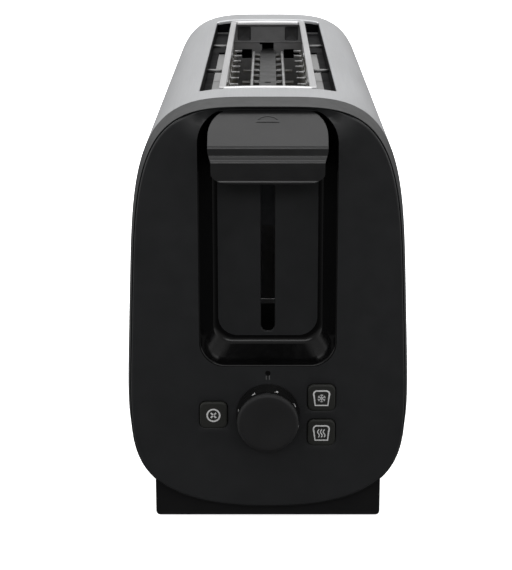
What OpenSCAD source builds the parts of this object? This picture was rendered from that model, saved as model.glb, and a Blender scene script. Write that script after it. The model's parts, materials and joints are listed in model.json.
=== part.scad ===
// Long-slot pop-up toaster.
// +Z up, front (lever and controls) towards -Y, origin at the middle of the footprint.
// Depths run from the control panel's front face towards the rear.

/* [Body] */
// Length from the control panel to the rear face
body_l = 387; // [360:1:420]
// Height of the crown
body_h = 206.6; // [200:0.2:210]
// Half width at mid height
half_w = 66.7; // [65:0.1:70]
// Bottom of the body's outline
skirt_z = 7; // [6:0.1:8]
// Squareness of the outline's upper half
squareness = 4.1; // [3.6:0.1:4.6]
// Roundness of the underside across the width
low_across = 2.3; // [2.2:0.1:4.1]
// Squareness of the lower corners up the sides
low_upright = 5.7; // [4.1:0.1:6]
// How much narrower the crown is than mid height
lean = 3.9; // [3:0.1:5]
// Thickness of the steel wrap
wrap_t = 0.8; // [0.6:0.1:1]
// Depth of the front frame
frame_d = 16.6; // [15:0.2:18]
// Length of the rear cap
rear_d = 15; // [14:0.5:16]

/* [Slot] */
// Half width of the opening in the wrap
opening_x = 33.2; // [32.6:0.2:33.6]
// Front edge of the opening
opening_front = 43.5; // [43:0.5:45]
// Rear edge of the opening
opening_rear = 341; // [340.5:0.5:342]
// Half width of the bread slot between the rack's bars
slot_x = 20.5; // [20.3:0.1:20.8]

/* [Carriage] */
// Height of the carriage strip's top, raised
rail_z = 187.2; // [186:0.1:188]
// Travel of the lever and carriage
lift_travel = 80; // [70:1:80]
// Distance between cross wires
wire_pitch = 23.75; // [22:0.25:24]
// Sideways travel of each guard
guard_travel = 6; // [4:0.5:6]

/* [Bun rack] */
// Distance between a leg's two pivots
leg_l = 40; // [34:1:42]
// Height of the leg pivots, folded
leg_z = 200.9; // [200.7:0.1:201]
// Radius of a rack pin
rack_pin_r = 1; // [0.9:0.05:1.1]
// Front end of the rack
rack_front = 51.5; // [50:0.5:53]
// Rear end of the rack
rack_rear = 339.5; // [339:0.5:339.5]

/* [Controls] */
// Half width of the lever recess
recess_x = 32; // [31:0.5:33]
// Depth of the lever recess
recess_d = 11; // [10:0.5:12]
// Height of the recess's lower edge
recess_z = 80.7; // [80:0.1:82]
// Height of the knob's centre
knob_z = 56; // [55:0.5:57]
// Radius of the knob's base
knob_r = 15.3; // [14:0.1:16]
// Side of a square button
button_w = 13.2; // [12:0.1:14]
// Travel of a button
button_travel = 1.5; // [1:0.1:1.6]

/* [Base] */
// Half width of the plinth
plinth_x = 55; // [54:0.5:55]
// Setback of the plinth from the panel and the rear face
plinth_set = 7; // [6.5:0.5:9]
// Height that the feet lift the plinth
feet_h = 0.8; // [0.6:0.1:1.2]

/* [Hidden] */
$fn = 48;

lever_reach = 18;                          // how far the lever stands out of the panel
front_y = (lever_reach - body_l) / 2;      // panel's front face in the part's frame
mid_z = (body_h + skirt_z) / 2;
half_h = (body_h - skirt_z) / 2;
outline_n = 96;                            // points around the body's outline
rear_start = body_l - rear_d;
mid_d = 193.5;                             // middle of the carriage's wires
panel_t = 3;                               // thickness of the control panel
recess_top = body_h - 3.6;
frame_taper = 2;                           // how much the frame narrows towards the panel
seat_inset = 2.5;                          // front frame's seat for the panel
panel_gap = 0.3;
panel_bevel = 0.6;
wall_t = 2.2;                              // thickness of the moulded walls
sleeve_l = 7;                              // frame's sleeve inside the wrap
sleeve_inset = 1;
sleeve_inner = 4.2;
floor_z = feet_h + 3;                      // top of the plinth's floor
wrap_low = 23.8;                           // lower edge of the steel wrap
tray_x = 40;
tray_z = floor_z + 0.8;
tray_h = 9;
plate_t = 1;                               // sheet of the chamber's end plates
plate_top = 198;
chamber_front = 54;                        // front face of the front end plate
chamber_rear = opening_rear - plate_t;     // front face of the rear end plate
tray_front = chamber_front + 5;
tray_end = body_l - plinth_set + 5;        // rear face of the tray's end panel
flange_z = 196;                            // top of the reflectors' flanges
reflector_x = 36;
board_x = 28.2;                            // inner face of a heater board
liner_step = 198.4;                        // underside of the liner's front ledge
guard_x = 20.9;                            // centre of a guard's upright wires
guard_rail_x = 22.3;                       // centre of a guard's long wires
guard_low_z = 112;
guard_high_z = 185;
guard_tip_z = 190;
wire_r = 1;
rod_x = 14;
rod_d = 32;
rod_r = 2.5;
rod_fit = 0.05;
spring_r = 3.6;
bracket_d = 38;                            // front face of the lift bracket's plate
bracket_low = 140;
bracket_high = 192;
stem_x = 1.5;
stem_low = 178;
stem_high = 190;
stem_slot_w = 6.6;
stem_slot_low = stem_low - lift_travel - 4;
stem_slot_high = stem_high + 6;
lever_x = 27.4;
lip_x = 25.9;                              // half width of the lever's lower lip
lip_high = 185;
lever_low = 171.5;
lever_high = 202.4;
stop_x = -26.1;
stop_z = 55.6;
right_button_x = 25.7;
defrost_z = 64.4;
reheat_z = 46.7;
board_d = 17;                              // front face of the control board
board_t = 1.6;
board_post_x = 38;
board_post_z = [34, 72];
frame_boss_x = 46;                         // bosses that hold the lift frame
frame_boss_z = 150;
frame_ear_d = board_d + 2;                 // front face of the lift frame's ears
button_back = 11;                          // rear end of a button's stem
vent_low = 120;
vent_pitch = 6;
vents = 10;
cord_x = -40;
cord_z = 44;
foot_x = 42;
foot_d = [34, body_l - 34];
base_screw_x = 48.5;
base_screw_d = [24, body_l - 26];
base_screw_z = feet_h + 0.2;               // underside of a base screw's head
screw_head_h = 1.1;
magnet_x = 30;
magnet_d = 41.5;
contact_x = [-36, -28];
front_pivot_d = mid_d - 52;
rear_pivot_d = mid_d + 52;
bar_low = 203.2;
bar_high = 205.6;
bar_w = 3.4;
bar_x = slot_x + bar_w;                    // outer side of the rack
ear_t = 1.1;
leg_x = 20.6;                              // inner face of a leg
leg_t = 1.8;
leg_r = 1.5;
pin_fit = 0.05;
open_pivot_fit = 0.4;                      // the linkage's open pivot runs loose
button_x = [stop_x, right_button_x, right_button_x];
button_z = [stop_z, defrost_z, reheat_z];

// ---- helpers -------------------------------------------------------------------------------

function signed_power(v, e) = sign(v) * pow(abs(v), e);

// point of the body's outline at angle t, moved in by inset
function outline_point(t, inset) =
    let (across = sin(t) < 0 ? low_across : squareness)
    let (upright = sin(t) < 0 ? low_upright : squareness)
    let (u = signed_power(sin(t), 2 / upright))
    [(half_w - inset - lean * u) * signed_power(cos(t), 2 / across),
     mid_z + (half_h - inset) * u];

module body_outline(inset = 0) {
    polygon([for (i = [0 : outline_n - 1]) outline_point(360 * i / outline_n, inset)]);
}

// stands a drawing (x, height) upright between two depths
module slab(d0, d1) {
    translate([0, front_y + d1, 0]) rotate([90, 0, 0]) linear_extrude(d1 - d0) children();
}

// body outline whose edge is bevelled at the end nearest depth d0
module bevelled_front(d0, d1, bevel, inset) {
    hull() {
        slab(d0, d0 + 0.01) body_outline(inset + bevel);
        slab(d0 + bevel, d1) body_outline(inset);
    }
}

module bevelled_rear(d0, d1, bevel, inset) {
    hull() {
        slab(d0, d1 - bevel) body_outline(inset);
        slab(d1 - 0.01, d1) body_outline(inset + bevel);
    }
}

// box from low to high corner, its second coordinate a depth
module block(low, high) {
    translate([low[0], front_y + low[1], low[2]]) cube(high - low);
}

module rounded_square(w, h, r) {
    union() {
        square([w - 2 * r, h], center = true);
        square([w, h - 2 * r], center = true);
        for (sx = [-1, 1]) for (sy = [-1, 1])
            translate([sx * (w / 2 - r), sy * (h / 2 - r)]) circle(r);
    }
}

// rectangle whose upper and lower corners have their own radii
module two_radius(w, h, r_top, r_low) {
    intersection() {
        translate([0, -h / 2]) rounded_square(w, 2 * h, r_top);
        translate([0, h / 2]) rounded_square(w, 2 * h, r_low);
    }
}

// cylinder along depth, from d0 to d1
module depth_rod(x, z, r, d0, d1) {
    translate([x, front_y + d0, z]) rotate([-90, 0, 0]) cylinder(h = d1 - d0, r = r);
}

// cylinder across the width, from x0 to x1
module cross_rod(d, z, r, x0, x1) {
    translate([x0, front_y + d, z]) rotate([0, 90, 0]) cylinder(h = x1 - x0, r = r);
}

// cylinder upright
module post(x, d, r, z0, z1) {
    translate([x, front_y + d, z0]) cylinder(h = z1 - z0, r = r);
}

module mirror_pair() {
    children();
    mirror([1, 0, 0]) children();
}

// ---- casing --------------------------------------------------------------------------------

module outer_shell() color("silver") {
    difference() {
        slab(frame_d, rear_start) body_outline(0);
        slab(frame_d - 1, rear_start + 1) body_outline(wrap_t);
        block([-opening_x, opening_front, body_h - 20], [opening_x, opening_rear, body_h + 1]);
        block([-half_w, 0, 0], [half_w, body_l, wrap_low]);
    }
}

module front_frame() color([0.08, 0.08, 0.08]) {
    difference() {
        union() {
            hull() {
                slab(0.8, 0.81) body_outline(frame_taper);
                slab(frame_d - 0.01, frame_d) body_outline(0);
            }
            slab(frame_d, frame_d + sleeve_l) body_outline(sleeve_inset);
        }
        slab(-1, panel_t) body_outline(seat_inset);
        slab(panel_t - 1, frame_d + sleeve_l + 1) body_outline(sleeve_inner);
        block([-plinth_x - 0.3, frame_d, 0], [plinth_x + 0.3, frame_d + sleeve_l + 1, 31]);
    }
}

// side walls and floor of the lever recess, in plan
module recess_plan(grow) {
    floor_x = recess_x - 8;
    polygon([[-recess_x - grow, -0.5], [-recess_x - grow, 0], [-floor_x - grow, recess_d + grow],
             [floor_x + grow, recess_d + grow], [recess_x + grow, 0], [recess_x + grow, -0.5]]);
}

// side view of the recess: its lower wall slopes in
module recess_side(grow, top) {
    polygon([[-0.5, recess_z - grow], [0, recess_z - grow],
             [recess_d + grow, recess_z + 10 - grow], [recess_d + grow, top], [-0.5, top]]);
}

module recess_space(grow, top) {
    intersection() {
        translate([0, front_y, recess_z - 10]) linear_extrude(top + 30 - recess_z) recess_plan(grow);
        translate([-60, front_y, 0]) rotate([90, 0, 90]) linear_extrude(120)
            recess_side(grow, top);
        slab(-1, recess_d + grow + 1) translate([0, (recess_z + top) / 2])
            two_radius(2 * (recess_x + grow), top - recess_z + 2 * grow, 15, 12);
    }
}

module front_fascia() color([0.1, 0.1, 0.1]) {
    difference() {
        union() {
            bevelled_front(0, panel_t, panel_bevel, seat_inset + panel_gap);
            intersection() {
                recess_space(2, recess_top - 0.4);
                slab(0, 20) body_outline(4.6);
            }
            for (s = [-1, 1]) for (z = board_post_z)
                depth_rod(s * board_post_x, z, 3.2, panel_t - 0.1, board_d);
            for (s = [-1, 1]) depth_rod(s * frame_boss_x, frame_boss_z, 4, panel_t - 0.1, frame_ear_d);
        }
        recess_space(0, recess_top);
        slab(-1, 20) translate([0, (stem_slot_low + stem_slot_high) / 2])
            rounded_square(stem_slot_w, stem_slot_high - stem_slot_low, 3.2);
        depth_rod(0, knob_z, 4.8, -1, panel_t + 1);
        for (i = [0 : 2]) slab(-1, panel_t + 1)
            translate([button_x[i], button_z[i]]) rounded_square(button_w + 0.6, button_w + 0.6, 3.3);
        for (s = [-1, 1]) for (z = board_post_z)
            depth_rod(s * board_post_x, z, 1.2, 8, board_d + 1);
        for (s = [-1, 1]) depth_rod(s * frame_boss_x, frame_boss_z, 1.5, 9, frame_ear_d + 1);
    }
}

module rear_cap() color([0.08, 0.08, 0.08]) {
    inset = 1.6;
    difference() {
        union() {
            bevelled_rear(rear_start, body_l, 2.5, inset);
            slab(rear_start - 6, rear_start) body_outline(sleeve_inset);
        }
        slab(rear_start - 7, body_l - wall_t) body_outline(sleeve_inner);
        block([-tray_x - 2.5, rear_start - 8, 0], [tray_x + 2.5, body_l + 1, 24]);
        block([-plinth_x - 0.3, rear_start - 8, 0], [plinth_x + 0.3, rear_start, 31]);
        depth_rod(cord_x, cord_z, 7, body_l - 5, body_l + 1);
        for (i = [0 : vents - 1]) slab(body_l - 5, body_l + 1)
            translate([0, vent_low + vent_pitch * i]) rounded_square(50, 2.4, 1.1);
    }
}

module base_housing() color([0.07, 0.07, 0.07]) {
    d1 = body_l - plinth_set;
    outline_top = 30;
    difference() {
        slab(plinth_set, d1) translate([0, (feet_h + outline_top) / 2])
            two_radius(2 * plinth_x, outline_top - feet_h, 4, 2);
        block([-plinth_x + wall_t, 16, floor_z], [plinth_x - wall_t, d1 - 10, 40]);
        slab(-1, frame_d + 0.2) body_outline(-0.3);
        slab(rear_start - 0.2, body_l + 1) body_outline(-0.3);
        slab(frame_d, frame_d + sleeve_l + 0.2) difference() {
            body_outline(0);
            body_outline(sleeve_inner + 0.2);
        }
        block([-tray_x - 0.6, d1 - 20, floor_z], [tray_x + 0.6, body_l, tray_z + tray_h + 1]);
        for (sx = [-1, 1]) for (d = foot_d) post(sx * foot_x, d, 2, 0, 6);
        for (sx = [-1, 1]) for (d = base_screw_d) {
            post(sx * base_screw_x, d, 1.6, 0, 6);
            post(sx * base_screw_x, d, 3.2, 0, base_screw_z + screw_head_h);
        }
    }
    for (sx = [-1, 1]) block([sx * 30 - 1.5, 60, floor_z], [sx * 30 + 1.5, body_l - 30, tray_z - 0.1]);
}

module rubber_feet() color([0.12, 0.12, 0.12]) {
    for (sx = [-1, 1]) for (d = foot_d) {
        post(sx * foot_x, d, 7, 0, feet_h);
        post(sx * foot_x, d, 2, feet_h, floor_z - 0.2);
    }
}

module cord_gland() color([0.06, 0.06, 0.06]) {
    translate([cord_x, front_y + body_l - 6.2, cord_z]) rotate([-90, 0, 0]) rotate_extrude()
        polygon([[4, 0], [9, 0], [9, 3.8], [7, 3.8], [7, 5.6], [6.2, 6.2], [4, 6.2]]);
}

module screw(shank_r, head_r, shank_l) {
    difference() {
        union() {
            cylinder(h = screw_head_h, r = head_r);
            cylinder(h = shank_l, r = shank_r);
        }
        translate([-0.4, -head_r - 1, -1]) cube([0.8, 2 * head_r + 2, 1.7]);
    }
}

module base_screws() color("gray") {
    for (sx = [-1, 1]) for (d = base_screw_d)
        translate([sx * base_screw_x, front_y + d, base_screw_z]) screw(1.5, 3, 8);
}

module fascia_screws() color("gray") {
    for (s = [-1, 1]) for (z = board_post_z)
        translate([s * board_post_x, front_y + board_d + board_t + screw_head_h, z])
            rotate([90, 0, 0]) screw(1.2, 2.6, 9);
}

module chassis_screws() color("gray") {
    for (s = [-1, 1])
        translate([s * frame_boss_x, front_y + frame_ear_d + 1.5 + screw_head_h, frame_boss_z])
            rotate([90, 0, 0]) screw(1.5, 3, 11);
}

// ---- slot and chamber ----------------------------------------------------------------------

module slot_liner() color([0.06, 0.06, 0.06]) {
    difference() {
        intersection() {
            block([-opening_x - 1.3, opening_front - 1.6, flange_z],
                  [opening_x + 1.3, opening_rear + 1.6, body_h]);
            slab(0, body_l) body_outline(wrap_t);
        }
        block([-opening_x + 0.3, chamber_front, flange_z + 1],
              [opening_x - 0.3, opening_rear + 0.2, body_h + 1]);
        block([-opening_x + 0.3, opening_front, liner_step + 1],
              [opening_x - 0.3, chamber_front + 1, body_h + 1]);
        block([-29.4, chamber_front + plate_t, 190], [29.4, 247, 200]);
        block([-23.8, 240, 190], [23.8, opening_rear + 0.2, 200]);
        block([-opening_x - 2, opening_front - 2, flange_z - 1],
              [opening_x + 2, chamber_front + plate_t + 0.1, liner_step]);
        block([-opening_x - 2, chamber_rear - 0.1, flange_z - 1],
              [opening_x + 2, opening_rear + 2, plate_top + 0.2]);
        for (d = [front_pivot_d, rear_pivot_d]) cross_rod(d, leg_z, rack_pin_r, -40, 40);
    }
}

// sheet with legs to the floor on both sides of the crumb tray
module end_plate_outline() {
    difference() {
        union() {
            translate([-42, 23]) square([84, plate_top - 23]);
            translate([-48, floor_z]) square([96, 30]);
        }
        translate([-41.5, 0]) square([83, tray_z + tray_h + 3]);
    }
}

module guard_slots() {
    for (z = [guard_low_z, guard_high_z])
        translate([guard_rail_x - guard_travel - 1.4, z - 1.3])
            square([guard_travel + 2.8, 2.6]);
}

module chamber_front_plate() color("lightgray") {
    slab(chamber_front, chamber_front + plate_t) difference() {
        end_plate_outline();
        translate([-6.5, stem_slot_low + 4]) square([13, 92]);
        mirror_pair() guard_slots();
    }
}

module chamber_rear_plate() color("gray") {
    difference() {
        union() {
            slab(chamber_rear, chamber_rear + plate_t) difference() {
                union() {
                    end_plate_outline();
                    translate([-23.6, plate_top - 1]) square([47.2, 6]);
                }
                translate([-3.8, 100]) square([7.6, 91.8]);
                translate([-5.4, 190.2]) square([3, 1.6]);
                mirror_pair() {
                    guard_slots();
                    translate([10.5, 181.2]) square([6.5, 6]);
                }
            }
            block([-24, chamber_rear - 0.6, 191.6], [24, chamber_rear + 0.1, 192.2]);
        }
        for (s = [-1, 1]) block([s * 15.5 - 4.5, chamber_rear - 1, 192.8],
                                [s * 15.5 + 4.5, chamber_rear + 0.5, 202]);
    }
}

module reflector() {
    difference() {
        union() {
            block([reflector_x, chamber_front + plate_t, 96],
                  [reflector_x + 0.8, chamber_rear, flange_z]);
            block([25, chamber_front + plate_t, flange_z - 0.8],
                  [reflector_x + 0.8, chamber_rear, flange_z]);
        }
        block([24, 136.4, flange_z - 2], [31, 137.4, flange_z + 1]);
    }
}

module left_reflector() color("lightgray") mirror([1, 0, 0]) reflector();
module right_reflector() color("lightgray") reflector();

module heater_board() {
    difference() {
        block([board_x, chamber_front + plate_t, 98],
              [board_x + 0.8, chamber_rear, flange_z - 0.8]);
        for (i = [-5 : 5])
            block([board_x - 1, mid_d + i * wire_pitch - 4, 101.5],
                  [board_x + 2, mid_d + i * wire_pitch + 4, 103]);
    }
}

module left_heater_board() color("tan") mirror([1, 0, 0]) heater_board();
module right_heater_board() color("tan") heater_board();

// ribbon wound up and down across the board
module heater_wire() {
    runs = 24;
    run_pitch = 11;
    low = 106;
    high = 182;
    start = mid_d - run_pitch * (runs - 1) / 2;
    for (i = [0 : runs - 1])
        block([board_x - 0.4, start + i * run_pitch - 0.8, low],
              [board_x, start + i * run_pitch + 0.8, high]);
    for (i = [0 : runs - 2]) {
        z = i % 2 == 0 ? high - 1.6 : low;
        block([board_x - 0.4, start + i * run_pitch - 0.8, z],
              [board_x, start + (i + 1) * run_pitch + 0.8, z + 1.6]);
    }
}

module left_heater_wire() color("darkorange") mirror([1, 0, 0]) heater_wire();
module right_heater_wire() color("darkorange") heater_wire();

// ---- lift mechanism ------------------------------------------------------------------------

module lift_frame() color("silver") {
    back = chamber_front - 1.5;
    difference() {
        union() {
            block([-44, back, 36], [44, chamber_front, 197]);
            block([-24, rod_d - 8, 195.5], [24, back, 197]);
            block([-24, rod_d - 8, 36], [24, back, 37.5]);
            block([-51, back, 140], [51, chamber_front, 160]);
            mirror_pair() {
                block([42.5, frame_ear_d, 140], [51, frame_ear_d + 1.5, 160]);
                block([49.5, frame_ear_d, 140], [51, back + 0.5, 160]);
            }
        }
        block([-9, back - 1, 96], [9, chamber_front + 1, 191]);
        post(rod_x, rod_d, rod_r, 30, 200);
        for (s = [-1, 1])
            depth_rod(s * frame_boss_x, frame_boss_z, 1.6, board_d, frame_ear_d + 3);
        mirror_pair() slab(back - 1, chamber_front + 1) guard_slots();
    }
    post(-rod_x, rod_d, 1.2, 190, 195.6);
}

module guide_rod() color("silver") post(rod_x, rod_d, rod_r, 33, 199);

module lift_spring() color("silver") {
    turns = 9;
    low = 147.2;
    high = 189.6;
    for (i = [0 : turns])
        translate([-rod_x, front_y + rod_d, low + (high - low) * i / turns])
            rotate_extrude() translate([spring_r, 0]) circle(0.6, $fn = 24);
    for (s = [-1, 1])
        translate([-rod_x + s * spring_r, front_y + rod_d, low])
            cylinder(h = high - low, r = 0.5);
}

module magnet_yoke() color("dimgray") {
    low = 64;
    high = 87.6;
    difference() {
        block([20, 33, low], [40, chamber_front - 1.5, high]);
        block([19, 32, low + 3], [41, 34.5, high + 1]);
        block([19, 38.5, low + 3], [41, 44.5, high + 1]);
    }
    post(magnet_x, magnet_d, 2.8, low + 2, high);
}

module magnet_coil() color("chocolate") {
    difference() {
        block([21, 38.7, 67.2], [39, 44.3, 85]);
        post(magnet_x, magnet_d, 2.9, 60, 90);
    }
}

module contact_block() color("white") {
    difference() {
        block([-40, 40, 62], [-22, chamber_front - 1.5, 76]);
        for (x = contact_x) block([x - 1.1, 42, 66], [x + 1.1, 47, 77]);
    }
}

module contact_blades() color("goldenrod") {
    for (x = contact_x) {
        block([x - 1, 42.1, 66.2], [x + 1, 42.6, 86]);
        block([x - 1, 46.3, 66.2], [x + 1, 46.8, 84]);
    }
}

module lift_bracket() color("silver") {
    plate = 2;
    difference() {
        union() {
            block([-20, bracket_d, bracket_low], [20, bracket_d + plate, bracket_high]);
            post(rod_x, rod_d, 4.6, bracket_low + 10, bracket_high - 8);
            block([rod_x - 2, rod_d + 3, bracket_low + 10], [rod_x + 2, bracket_d + 0.5, bracket_high - 8]);
            block([-rod_x - 2, rod_d - 2, 142], [-rod_x + 2, bracket_d + 0.5, 146]);
            block([16, 34.5, 171], [44, bracket_d + plate, 173]);
            block([-38, bracket_d, 169], [-18, bracket_d + plate, 176]);
        }
        post(rod_x, rod_d, rod_r + rod_fit, 100, 200);
    }
}

module armature_plate() color("dimgray") block([20, 33, 168], [40, 50, 171]);

module lever_stem() color("silver") {
    block([-stem_x, 4.2, stem_low], [stem_x, bracket_d, stem_high]);
}

// lever seen from the side: sloping top, rounded nose, shallow finger groove, lower lip
module lever_profile() {
    polygon(concat(
        [[8, 199], [2.8, 199], [2.8, lever_high]],
        [for (a = [0 : 15 : 60]) [-11.5 - 4.5 * sin(a), 186 + 4.5 * cos(a)]],
        [[-15.8, 186], [-15.4, 183.5], [-16, 182]],
        [for (a = [60 : -20 : -90]) [-15.2 - 2.8 * cos(a), 178 + 2.8 * sin(a)]],
        [[-14.5, lever_low], [4, lever_low], [8, 176]]));
}

module lever_plan() {
    r = 11;
    polygon(concat(
        [[-lever_x, -10], [-lever_x + 0.6, -13]],
        [for (a = [-8 : 2 : 8]) [(lever_x - 1) * a / 8, -18 + 3.4 * pow(a / 8, 2)]],
        [[lever_x - 0.6, -13], [lever_x, -10]],
        [for (a = [0 : 15 : 90]) [lever_x - r + r * cos(a), 8 - r + r * sin(a)]],
        [for (a = [90 : 15 : 180]) [-lever_x + r + r * cos(a), 8 - r + r * sin(a)]]));
}

// lever seen from the front: wide body over a narrower lip
module lever_front() {
    body_low = lip_high - 4;
    translate([0, (body_low + lever_high) / 2])
        two_radius(2 * lever_x, lever_high - body_low, 10, 3);
    translate([0, (lever_low + lip_high) / 2]) rounded_square(2 * lip_x, lip_high - lever_low, 5);
}

module lever_handle() color([0.12, 0.12, 0.12]) {
    difference() {
        intersection() {
            translate([-30, front_y, 0]) rotate([90, 0, 90]) linear_extrude(60) lever_profile();
            translate([0, front_y, 160]) linear_extrude(50) lever_plan();
            slab(-20, 10) lever_front();
        }
        block([-stem_x, 4.2, stem_low], [stem_x, 10, stem_high]);
    }
}

module carriage_rail() color("silver") {
    difference() {
        union() {
            block([-5, bracket_d + 2, 183], [5, 60, 185.2]);
            block([-5, 58, 183], [5, 60, rail_z]);
            block([-4.8, 58, rail_z - 1], [4.8, chamber_rear - 5, rail_z]);
            block([-3.2, chamber_rear - 6, rail_z - 1], [3.2, chamber_rear + 6, rail_z]);
        }
        post(0, 192, 2, 180, 190);
    }
}

module carriage_wires() color("silver") {
    z = rail_z - 1 - wire_r;
    for (k = [-5.5 : 1 : 5.5]) {
        long = abs(k) == 0.5 || abs(k) == 2.5;
        reach = long ? 14.8 : 10.2;
        cross_rod(mid_d + k * wire_pitch, z, wire_r, -reach, reach);
    }
    for (s = [-1, 1]) depth_rod(s * 9.2, z + 1.5, 0.9, mid_d - 133, mid_d + 133);
}

// upright wires with tips bent in over the slot, welded to two long wires
module guard() {
    for (k = [-5 : 5]) {
        post(guard_x, mid_d + k * wire_pitch, 0.8, guard_low_z - 5, guard_tip_z);
        cross_rod(mid_d + k * wire_pitch, guard_tip_z - 0.8, 0.8, 16.6, guard_x + 0.8);
    }
    for (z = [guard_low_z, guard_high_z])
        depth_rod(guard_rail_x, z, wire_r, chamber_front - 4, chamber_rear + 5);
    depth_rod(guard_rail_x, (guard_low_z + guard_high_z) / 2, wire_r,
              mid_d - 5 * wire_pitch - 3, mid_d + 5 * wire_pitch + 3);
}

module left_guard() color("silver") mirror([1, 0, 0]) guard();
module right_guard() color("silver") guard();

// ---- controls ------------------------------------------------------------------------------

module control_board() color("darkgreen") {
    difference() {
        block([-43, board_d, 30], [43, board_d + board_t, 76]);
        for (s = [-1, 1]) for (z = board_post_z)
            depth_rod(s * board_post_x, z, 1.3, board_d - 1, board_d + 3);
    }
}

module browning_pot() color("royalblue") {
    difference() {
        union() {
            block([-8, 9, knob_z - 8], [8, board_d, knob_z + 8]);
            depth_rod(0, knob_z, 4.5, 3.4, 9.1);
        }
        depth_rod(0, knob_z, 3.05, 2, 15);
    }
}

module pot_shaft() color("silver") depth_rod(0, knob_z, 3, -10, 14.6);

module browning_knob() color([0.1, 0.1, 0.1]) {
    difference() {
        translate([0, front_y - 0.5, knob_z]) rotate([90, 0, 0]) rotate_extrude($fn = 96)
            polygon([[0, 0], [knob_r, 0], [knob_r, 1.2], [knob_r - 0.5, 11.8], [knob_r - 1, 13],
                     [knob_r - 2.2, 13.5], [0, 13.5]]);
        depth_rod(0, knob_z, 3, -10, 2);
        slab(-15, -13.2) translate([-0.5, knob_z + 8]) square([1, 5]);
    }
}

module button(x, z) {
    slab(-1.2, 3.7) translate([x, z]) rounded_square(button_w, button_w, 3);
    slab(3.3, 4.6) translate([x, z]) rounded_square(button_w + 2.4, button_w + 2.4, 3);
    depth_rod(x, z, 2, 4.5, button_back);
}

module stop_button() color([0.14, 0.15, 0.14]) button(stop_x, stop_z);
module defrost_button() color([0.14, 0.15, 0.14]) button(right_button_x, defrost_z);
module reheat_button() color([0.14, 0.15, 0.14]) button(right_button_x, reheat_z);

module button_switches() color([0.2, 0.2, 0.2]) {
    for (i = [0 : 2]) {
        block([button_x[i] - 3, 13.6, button_z[i] - 3], [button_x[i] + 3, board_d, button_z[i] + 3]);
        depth_rod(button_x[i], button_z[i], 1.6, button_back + button_travel + 0.3, 13.7);
    }
}

module terminal_block() color("ivory") {
    difference() {
        block([-46.6, 344, floor_z], [-41.2, 364, 20]);
        for (d = [347.5, 354, 360.5]) post(-43.9, d, 1.6, 14, 21);
    }
}

// ---- crumb tray ----------------------------------------------------------------------------

module crumb_tray() color("lightgray") {
    difference() {
        block([-tray_x, tray_front, tray_z], [tray_x, tray_end - 3, tray_z + tray_h]);
        block([-tray_x + 0.8, tray_front + 0.8, tray_z + 0.8], [tray_x - 0.8, tray_end - 4, 40]);
    }
    difference() {
        block([-tray_x - 1.8, tray_end - 3.1, feet_h], [tray_x + 1.8, tray_end, 23.4]);
        block([-20, tray_end - 1.2, 0], [20, tray_end + 1, 8]);
    }
}

// ---- bun rack ------------------------------------------------------------------------------

// flat link from its anchor pivot at depth d forward to the rack's pivot
module leg(d, ear_fit) {
    difference() {
        union() {
            block([leg_x, d - leg_l, leg_z - leg_r], [leg_x + leg_t, d, leg_z + leg_r]);
            for (p = [d, d - leg_l]) cross_rod(p, leg_z, leg_r, leg_x, leg_x + leg_t);
        }
        cross_rod(d, leg_z, rack_pin_r + pin_fit, leg_x - 1, leg_x + 3);
        cross_rod(d - leg_l, leg_z, 0.8 + ear_fit, leg_x - 1, leg_x + 3);
    }
}

module front_rack_legs() color("silver") mirror_pair() leg(front_pivot_d, pin_fit);
module rear_rack_legs() color("silver") mirror_pair() leg(rear_pivot_d, open_pivot_fit);

module rack_anchor_pins() color("silver") {
    for (d = [front_pivot_d, rear_pivot_d]) {
        cross_rod(d, leg_z, rack_pin_r, leg_x, opening_x + 1.2);
        cross_rod(d, leg_z, rack_pin_r, -opening_x - 1.2, -leg_x);
    }
}

module rack_frame() color("silver") {
    difference() {
        union() {
            mirror_pair() block([slot_x, rack_front, bar_low], [bar_x, rack_rear, bar_high]);
            block([-bar_x, rack_front, bar_low], [bar_x, rack_front + 4, bar_high]);
            block([-bar_x, rack_rear - 3, bar_low], [bar_x, rack_rear, bar_high]);
            for (p = [front_pivot_d - leg_l, rear_pivot_d - leg_l])
                mirror_pair() block([bar_x - ear_t, p - 3, leg_z - 1.7], [bar_x, p + 3, bar_low + 0.1]);
        }
        for (p = [front_pivot_d - leg_l, rear_pivot_d - leg_l])
            cross_rod(p, leg_z, 0.8, -bar_x - 1, bar_x + 1);
    }
}

module rack_ear_pins() color("silver") {
    for (p = [front_pivot_d - leg_l, rear_pivot_d - leg_l]) {
        cross_rod(p, leg_z, 0.8, leg_x, bar_x);
        cross_rod(p, leg_z, 0.8, -bar_x, -leg_x);
    }
}

// ---- nodes ---------------------------------------------------------------------------------

outer_shell();
front_frame();
front_fascia();
rear_cap();
base_housing();
rubber_feet();
cord_gland();
base_screws();
fascia_screws();
chassis_screws();
slot_liner();
chamber_front_plate();
chamber_rear_plate();
left_reflector();
right_reflector();
left_heater_board();
right_heater_board();
left_heater_wire();
right_heater_wire();
lift_frame();
guide_rod();
lift_spring();
magnet_yoke();
magnet_coil();
contact_block();
contact_blades();
control_board();
browning_pot();
button_switches();
terminal_block();
rack_anchor_pins();
lever_handle();
lever_stem();
lift_bracket();
carriage_rail();
carriage_wires();
armature_plate();
left_guard();
right_guard();
browning_knob();
pot_shaft();
stop_button();
defrost_button();
reheat_button();
crumb_tray();
front_rack_legs();
rack_frame();
rack_ear_pins();
rear_rack_legs();
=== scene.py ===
"""Long-slot pop-up toaster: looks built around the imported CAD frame. Metres, +Z up, lever end towards -Y."""
import json
import math

import bmesh
import bpy
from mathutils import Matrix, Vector, geometry


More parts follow.
